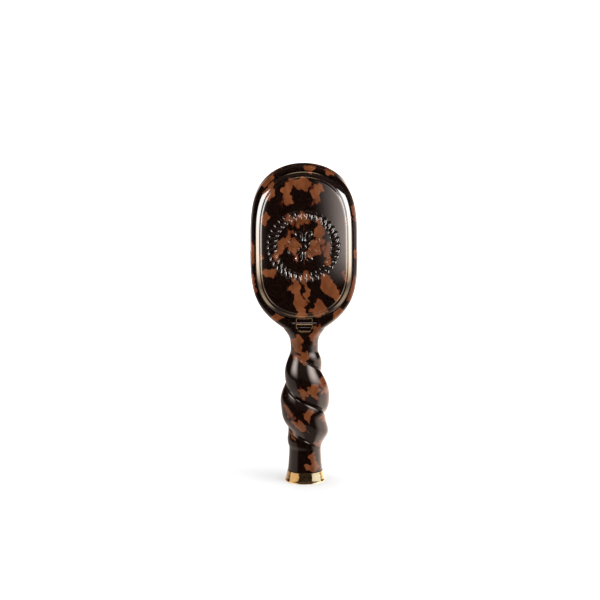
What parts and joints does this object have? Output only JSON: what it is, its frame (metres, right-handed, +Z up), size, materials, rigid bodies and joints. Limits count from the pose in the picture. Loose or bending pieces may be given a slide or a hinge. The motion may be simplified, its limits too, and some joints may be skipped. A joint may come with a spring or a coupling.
{
  "type": "vanity hairbrush",
  "caption": "Paddle hairbrush in tortoiseshell plastic with a twisted handle, a metal foot to stand on and a hinged back panel that hides a mirror.",
  "frame": {"origin": "centre of the foot's underside, where the brush stands", "axes": "+Z up along the handle, -Y out of the back panel, +Y out of the bristles, +X to the right when looking at the back panel"},
  "size_m": [0.0788, 0.0431, 0.2398],
  "materials": {
    "tortoiseshell": "near-black brown with amber blotches, high gloss",
    "polished_gold": "polished",
    "steel": "plain",
    "mirror_glass": "silvered",
    "cushion_rubber": "matte",
    "bristle_nylon": "satin",
    "pad_rubber": "matte"
  },
  "bodies": {
    "brush": {"brush_body": "tortoiseshell", "body_magnet": "steel", "hinge_pin": "steel", "cushion_pad": "cushion_rubber", "cushion_retainer": "tortoiseshell", "bristle_row_01": "bristle_nylon", "bristle_row_02": "bristle_nylon", "bristle_row_03": "bristle_nylon", "bristle_row_04": "bristle_nylon", "bristle_row_05": "bristle_nylon", "bristle_row_06": "bristle_nylon", "bristle_row_07": "bristle_nylon", "bristle_row_08": "bristle_nylon", "bristle_row_09": "bristle_nylon", "bristle_row_10": "bristle_nylon", "foot_cap": "polished_gold", "foot_weight": "steel", "foot_screw": "steel", "foot_pad": "pad_rubber"},
    "panel": {"back_panel": "tortoiseshell", "panel_mirror": "mirror_glass", "panel_magnet": "steel"}
  },
  "joints": [
    {"name": "panel_hinge", "type": "hinge", "parent": "brush", "child": "panel", "pos_m": [0, -0.0094, 0.1222], "axis": [1, 0, 0], "range_deg": [0, 100]}
  ]
}
